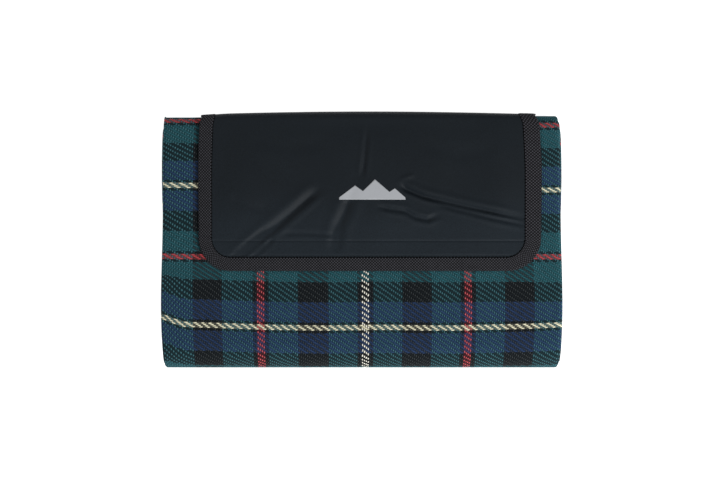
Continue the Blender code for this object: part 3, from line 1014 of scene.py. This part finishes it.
class BLANKET_OT_rug(bpy.types.Operator):
    """Fold the rug's tartan face, wadding and waterproof backing"""

    bl_idname = "blanket.rug"
    bl_label = "Rug"

    def execute(self, context):
        rug = context.scene.blanket_rug
        fold = FoldedRug()
        top = rug.sheet / 2
        face_low = top - rug.face
        backing_high = rug.backing - top
        plies = (
            ("tartan_face", top, face_low, "woven_tartan", True),
            ("wadding", face_low - PLY_GAP, backing_high + PLY_GAP, "wadding", False),
            ("waterproof_backing", backing_high, -top, "coated_backing", False),
        )
        for node, high, low, finish, fine in plies:
            made = self.ply(fold, f"rug_{node}", high, low, fine)
            finish_piece(made, finish, "rug")
            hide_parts(node)
        return {"FINISHED"}

    def ply(self, fold, name, high, low, fine):
        outer, outer_end = fold.outer_u, fold.outer_u + fold.run_across
        total_u, total_v = fold.across.total, fold.along.total
        # Stretches of the sheet, each with its steps in the runs and in the turns
        across, along = [(0, total_u, 0.030, 0.0012)], [(0, total_v, 0.018, 0.0030)]
        if fine:
            across = [
                (0, outer, 0.030, 0.0009), (outer, outer_end, 0.0050, 0.0009),
                (outer_end, total_u, 0.030, 0.0009),
            ]
            along = [(0, fold.front_v, 0.018, 0.0034), (fold.front_v, total_v, 0.0045, 0.0018)]
        u = np.unique([at for part in across for at in fold.across.stations(*part, NEAR_TURNS)])
        v = np.unique([at for part in along for at in fold.along.stations(*part, NEAR_TURNS)])
        u, v = np.meshgrid(u, v)
        return sheet_object(name, fold.place(u, v, high), fold.place(u, v, low), fold.weave(u, v))


# The hem tape's distance from the cloth, its thickness and how far it wraps past the edge
HEM_CLEARANCE, HEM_WALL, HEM_WRAP = 0.00001, 0.00022, 0.0010


class BLANKET_OT_hem_tapes(bpy.types.Operator):
    """Bind the rug's four hems with folded tape"""

    bl_idname = "blanket.hem_tapes"
    bl_label = "Hem tapes"

    def execute(self, context):
        rug = context.scene.blanket_rug
        fold = FoldedRug()
        section = folded_tape(rug.tape, rug.sheet / 2 + HEM_CLEARANCE, HEM_WALL, HEM_WRAP)
        along = fold.along.stations(rug.tape, fold.along.total - rug.tape, 0.020, 0.0030)
        across = fold.across.stations(0, fold.across.total, 0.010, 0.0009)
        # Each hem's stations, its place and the way into the sheet from it
        for name, stations, edge, inward in (
            ("first_side", along, 0.0, 1), ("second_side", along, fold.across.total, -1),
            ("inner_end", across, 0.0, 1), ("outer_end", across, fold.along.total, -1),
        ):
            reached, inset = np.meshgrid(stations, section[:, 0], indexing="ij")
            place = (edge + inward * inset, reached)
            u, v = place if name.endswith("side") else place[::-1]
            points = fold.place(u, v, section[None, :, 1])
            made = swept_object(f"hem_binding_{name}", points, np.stack((reached, inset), axis=-1))
            finish_piece(made, "twill_tape", "rug")
            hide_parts(f"hem_tape_{name}")
        return {"FINISHED"}


# Half the gap between shell and lining, and how far both stop short of the bound edge
HALF_GAP, CLOTH_INSET = 0.00005, 0.0002
# The binding's distance from the cloth, how far it wraps past the edge, and its ripple
BINDING_CLEARANCE, BINDING_WRAP = 0.00005, 0.0006
RIPPLE = ((0.00010, 0.011, 0.0), (0.00008, 0.0047, 0.0))
# The share of its thickness that the binding loses under the bundle
PRESSED_FLAT = 0.30


class BLANKET_OT_flap(bpy.types.Operator):
    """Make the flap's shell, lining and binding, in a back half and a front half"""

    bl_idname = "blanket.flap"
    bl_label = "Flap"

    def execute(self, context):
        flap = Flap()
        half = flap.sizes.cloth / 2
        # Each cloth's faces, its finish and the nodes that it stands for
        for name, high, low, finish, nodes in (
            ("back_shell", half, -half, "polyester_shell", ["back_panel"]),
            ("front_shell", half, HALF_GAP, "polyester_shell", ["cover_shell", "spine_shell"]),
            ("front_lining", -HALF_GAP, -half, "polyester_lining", ["cover_lining", "spine_lining"]),
        ):
            self.cloth(flap, name, high, low, finish, nodes)
        self.binding(flap, "back", ["back_panel_tape"])
        self.binding(flap, "front", ["cover_tape", "spine_tape_left", "spine_tape_right"])
        return {"FINISHED"}

    def cloth(self, flap, name, high, low, finish, nodes):
        front = name.startswith("front")
        lengths = flap.rows(front, 0.0012, 0.0015 if front else 0.006)
        shares = np.linspace(-1, 1, 221 if front else 61)
        side = shares[None, :] * (flap.cloth_half_width(lengths) - CLOTH_INSET)[:, None]
        rows = np.broadcast_to(lengths[:, None], side.shape)
        rows = np.clip(rows, CLOTH_INSET, flap.total - CLOTH_INSET)
        made = flap_sheet(flap, f"flap_{name}", side, rows, high, low)
        finish_piece(made, finish)
        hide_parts(*nodes)
        long = flap.total - flap.middle if front else flap.middle
        follow_flap(made, front)

    def binding(self, flap, name, nodes):
        front = name == "front"
        sizes = flap.sizes
        edge = flap.edge(front, 0.0022)
        inside = sizes.cloth / 2 + BINDING_CLEARANCE
        section = folded_tape(flap.tape, inside, sizes.tape_wall, BINDING_WRAP)
        reached = lengths_along(edge)
        inset = section[None, :, 0] * tape_share(edge, front)[:, None]
        side = edge[:, None, 0] - edge[:, None, 2] * inset
        rows = edge[:, None, 1] - edge[:, None, 3] * inset
        foot = flap.spine_low
        under = 0.0 if front else 1 - smooth(foot - 0.012, foot + 0.012, edge[:, 1])
        fullness = 1 + waves(reached, RIPPLE) / sizes.cloth * (1 - under)
        height = section[None, :, 1] * (fullness * (1 - PRESSED_FLAT * under))[:, None]
        weave = np.stack(np.broadcast_arrays(reached[:, None], section[None, :, 0]), axis=-1)
        made = swept_object(f"flap_{name}_binding", flap.place(side, rows, height), weave)
        finish_piece(made, "twill_tape")
        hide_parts(*nodes)
        follow_flap(made, front)


def flap_sheet(flap, name, side, rows, high, low):
    """A closed sheet on the flap, between two heights over its middle."""
    weave = np.stack((side, rows), axis=-1)
    return sheet_object(name, flap.place(side, rows, high), flap.place(side, rows, low), weave)


def lengths_along(line):
    """The length reached at each point of a line of points."""
    steps = np.hypot(np.diff(line[:, 0]), np.diff(line[:, 1]))
    return np.concatenate(([0], np.cumsum(steps)))


def tape_share(edge, front):
    """How wide the tape is sewn along the edge, as a share of its usual width."""
    on_right = np.clip(edge[:, 2], 0, 1) if front else np.zeros(len(edge))
    return 0.95 + 0.17 * on_right


def follow_flap(made, front):
    """Bake a piece of the flap's place into its mesh, the same for either half."""
    bend = bpy.context.scene.blanket_flap.bend
    if front:
        COVER_Z - bend
        SPINE_Y - bend
        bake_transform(made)
    else:
        SPINE_Y - bend
        BACK_Z + bend
        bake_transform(made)


class BLANKET_OT_closure(bpy.types.Operator):
    """Sew the hook strip inside the cover and the loop strip on the rug"""

    bl_idname = "blanket.closure"
    bl_label = "Closure"

    def execute(self, context):
        flap = Flap()
        low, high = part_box("closure_hook_strip")
        spine = flap.cover_start + SPINE_Y
        side, rows = strip_grid(low.x, high.x, spine - high.y, spine - low.y)
        hook = flap_sheet(
            flap, "closure_hooks", side - FLAP_X, rows, high.z - COVER_Z, low.z - COVER_Z
        )
        finish_piece(hook, "hook_tape", "cover")
        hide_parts("closure_hook_strip")

        low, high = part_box("closure_loop_strip")
        x, y = strip_grid(low.x, high.x, low.y, high.y)
        top, bottom = (settle(np.stack((x, y, np.full(x.shape, z)), axis=-1)) for z in (high.z, low.z))
        loop = sheet_object("closure_loops", top, bottom, np.stack((x, y), axis=-1))
        finish_piece(loop, "loop_tape", "rug")
        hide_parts("closure_loop_strip")
        return {"FINISHED"}


def strip_grid(left, right, first, last):
    """A grid of points over a strip of the closure."""
    return np.meshgrid(np.linspace(left, right, 160), np.linspace(first, last, 14))


# The emblem's outline from left to right, as shares of its width and height
PEAKS = (
    (0.00, 0.10), (0.24, 0.70), (0.36, 0.42), (0.54, 1.00), (0.76, 0.38), (0.84, 0.56), (1.00, 0.10),
)
# How far the film's two faces lie over the cloth
FILM_HIGH, FILM_LOW = 0.00028, 0.00002


class BLANKET_OT_emblem(bpy.types.Operator):
    """Press the emblem film, a row of three peaks, on the cover"""

    bl_idname = "blanket.emblem"
    bl_label = "Emblem"

    def execute(self, context):
        flap = Flap()
        low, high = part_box("emblem_transfer")
        base = flap.cover_start + SPINE_Y - low.y
        width, height = high.x - low.x, high.y - low.y
        outline = np.array(PEAKS)
        across = np.unique(np.concatenate((np.linspace(0, 1, 63), outline[:, 0])))
        tops = np.interp(across, *outline.T)
        up = np.linspace(0, 1, 13)
        side = np.broadcast_to((low.x - FLAP_X + across * width)[None, :], (len(up), len(across)))
        rows = base - up[:, None] * tops[None, :] * height
        film = flap.sizes.cloth / 2
        made = flap_sheet(flap, "emblem_film", side, rows, film + FILM_HIGH, film + FILM_LOW)
        finish_piece(made, "print_film", "cover")
        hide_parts("emblem_transfer")
        return {"FINISHED"}


# The near-black stitches along the tape's inner edge lie almost end to end, so that besides being
# thread they serve as painted shade of the groove beside the tape.
# Pitch of the stitches, their length, and half their width and height
STITCH_PITCH, STITCH_LENGTH = 0.0034, 0.0032
STITCH_HALF_WIDTH, STITCH_HALF_HEIGHT = 0.00060, 0.00030
# How far the stitches stand over the front half's cloth, and their distance from the tape
STITCH_RISE, STITCH_INSET = 0.00012, 0.00035


class BLANKET_OT_stitching(bpy.types.Operator):
    """Sew the bindings with rows of thread"""

    bl_idname = "blanket.stitching"
    bl_label = "Stitching"

    def execute(self, context):
        flap = Flap()
        for name, front in (("front", True), ("back", False)):
            line = self.binding_line(flap, front)
            height = flap.sizes.cloth / 2 + (STITCH_RISE if front else 0.0)
            for label, face in (("outer", 1), ("inner", -1)):
                made = self.row(f"flap_{name}_{label}_stitches", line, flap, face * height)
                follow_flap(made, front)
        return {"FINISHED"}

    def binding_line(self, flap, front):
        """The line just inside the tape, in the flap's own coordinates."""
        edge = flap.edge(front, 0.0008)
        inset = flap.tape * tape_share(edge, front) + STITCH_INSET
        return edge[:, :2] - edge[:, 2:] * inset[:, None]

    def row(self, name, line, flap, height):
        """One row of stitches along a line of the flap's own coordinates."""
        reached = lengths_along(line)
        starts = np.arange(STITCH_PITCH / 2, reached[-1] - STITCH_PITCH, STITCH_PITCH)
        ends = []
        for offset in (0.0, STITCH_LENGTH):
            at = np.stack([np.interp(starts + offset, reached, line[:, k]) for k in (0, 1)], axis=-1)
            ends.append(flap.place(at[:, 0], at[:, 1], height))
        shape, faces = self.one_stitch()
        points, quads = [], []
        for first, last in zip(*ends):
            way = last - first
            size = np.linalg.norm(way)
            way = way / size
            up = np.array((0.0, 0.0, 1.0)) if abs(way[2]) < 0.9 else np.array((0.0, 1.0, 0.0))
            across = np.cross(up, way)
            across = across / np.linalg.norm(across)
            turned = np.stack((across, np.cross(way, across), way * size))
            quads += [[corner + len(points) * len(shape) for corner in quad] for quad in faces]
            points.append((first + last) / 2 + shape @ turned)
        made = mesh_object(name, np.concatenate(points), quads)
        finish_piece(made, "thread")
        return made

    def one_stitch(self):
        """A short round-ended length of thread, one unit long, as points and faces."""
        bpy.ops.object.select_all(action="DESELECT")
        bpy.ops.mesh.primitive_uv_sphere_add(segments=6, ring_count=4, radius=1.0, location=(0, 0, 0))
        ball = bpy.context.object
        shape = np.array([vertex.co for vertex in ball.data.vertices])
        # A new ball's faces come in no fixed order, so they are put in one.
        faces = [list(polygon.vertices) for polygon in ball.data.polygons]
        firsts = [face.index(min(face)) for face in faces]
        faces = sorted(face[first:] + face[:first] for face, first in zip(faces, firsts))
        bpy.data.objects.remove(ball, do_unlink=True)
        return shape * np.array((STITCH_HALF_WIDTH, STITCH_HALF_HEIGHT, 0.5)), faces


class BLANKET_PT_panel(bpy.types.Panel):
    """Lists the steps that build the blanket"""

    bl_label = "Camp Blanket"
    bl_space_type = "VIEW_3D"
    bl_region_type = "UI"
    bl_category = "Camp Blanket"

    def draw(self, context):
        for group in ("blanket_rug", "blanket_flap", "blanket_weave"):
            settings = getattr(context.scene, group)
            box = self.layout.box()
            for name in settings.__annotations__:
                box.prop(settings, name)
        for step in STEPS:
            self.layout.operator(step.bl_idname)


SETTINGS = {"blanket_rug": RugSettings, "blanket_flap": FlapSettings, "blanket_weave": WeaveSettings}
STEPS = (
    BLANKET_OT_stage,
    BLANKET_OT_rug,
    BLANKET_OT_hem_tapes,
    BLANKET_OT_flap,
    BLANKET_OT_closure,
    BLANKET_OT_emblem,
    BLANKET_OT_stitching,
)


def register():
    for made in (*SETTINGS.values(), *STEPS, BLANKET_PT_panel):
        bpy.utils.register_class(made)
    for name, group in SETTINGS.items():
        setattr(bpy.types.Scene, name, bpy.props.PointerProperty(type=group))


def unregister():
    for name in SETTINGS:
        delattr(bpy.types.Scene, name)
    for made in reversed((*SETTINGS.values(), *STEPS, BLANKET_PT_panel)):
        bpy.utils.unregister_class(made)


def main():
    register()
    bpy.ops.blanket.stage()
    bpy.ops.blanket.rug()
    bpy.ops.blanket.hem_tapes()
    bpy.ops.blanket.flap()
    bpy.ops.blanket.closure()
    bpy.ops.blanket.emblem()
    bpy.ops.blanket.stitching()


if __name__ == "__main__":
    main()
